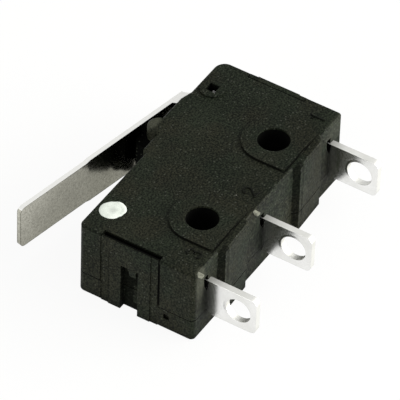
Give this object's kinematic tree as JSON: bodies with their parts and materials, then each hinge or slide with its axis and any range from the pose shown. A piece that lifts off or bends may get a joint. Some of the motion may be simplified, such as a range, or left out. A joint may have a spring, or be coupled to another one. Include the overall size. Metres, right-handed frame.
{
  "type": "micro switch",
  "caption": "Subminiature snap-action switch: black moulded housing, hinged steel lever over a plunger, solder tabs along one long side.",
  "frame": {"origin": "midway between the two mounting holes, on the broad face that the switch lies on", "axes": "+X along the body towards the end where the lever is hinged, +Y across it from the solder tabs to the lever, +Z through its thickness, along the mounting holes"},
  "size_m": [0.0198, 0.0187, 0.0064],
  "materials": {
    "black_moulding": "fine-textured black thermoplastic",
    "plunger_moulding": "smooth black thermoplastic",
    "lever_steel": "rolled stainless strip, satin",
    "tinned_terminal": "bright tin over brass",
    "contact_metal": "polished silver",
    "spring_copper": "bare spring copper strip",
    "mark_paint": "dab of white paint"
  },
  "bodies": {
    "housing": {"case": "black_moulding", "cover": "black_moulding", "common_terminal": "tinned_terminal", "normally_open_terminal": "tinned_terminal", "normally_closed_terminal": "tinned_terminal", "normally_open_contact": "contact_metal", "normally_closed_contact": "contact_metal", "paint_mark": "mark_paint"},
    "lever": {"lever": "lever_steel"},
    "plunger": {"plunger": "plunger_moulding"},
    "contact_arm": {"moving_arm": "spring_copper", "moving_contact": "contact_metal", "snap_spring": "spring_copper"}
  },
  "joints": [
    {"name": "lever_hinge", "type": "hinge", "parent": "housing", "child": "lever", "pos_m": [0.00693, 0.00643, 0.00314], "axis": [0, 0, 1], "range_deg": [0, 13], "stiffness_Nm_per_rad": 0.004},
    {"name": "plunger_slide", "type": "slide", "parent": "housing", "child": "plunger", "axis": [0, -1, 0], "range_m": [0, 0.00119]},
    {"name": "arm_swing", "type": "hinge", "parent": "housing", "child": "contact_arm", "pos_m": [0.00828, 0.00341, 0.00314], "axis": [0, 0, 1], "range_deg": [0, 3.03], "deforming": ["snap_spring"]}
  ],
  "couplings": [
    {"joint": "plunger_slide", "follows": "lever_hinge", "m_per_rad": 0.00523},
    {"joint": "arm_swing", "follows": "lever_hinge", "ratio": 0.2323}
  ]
}
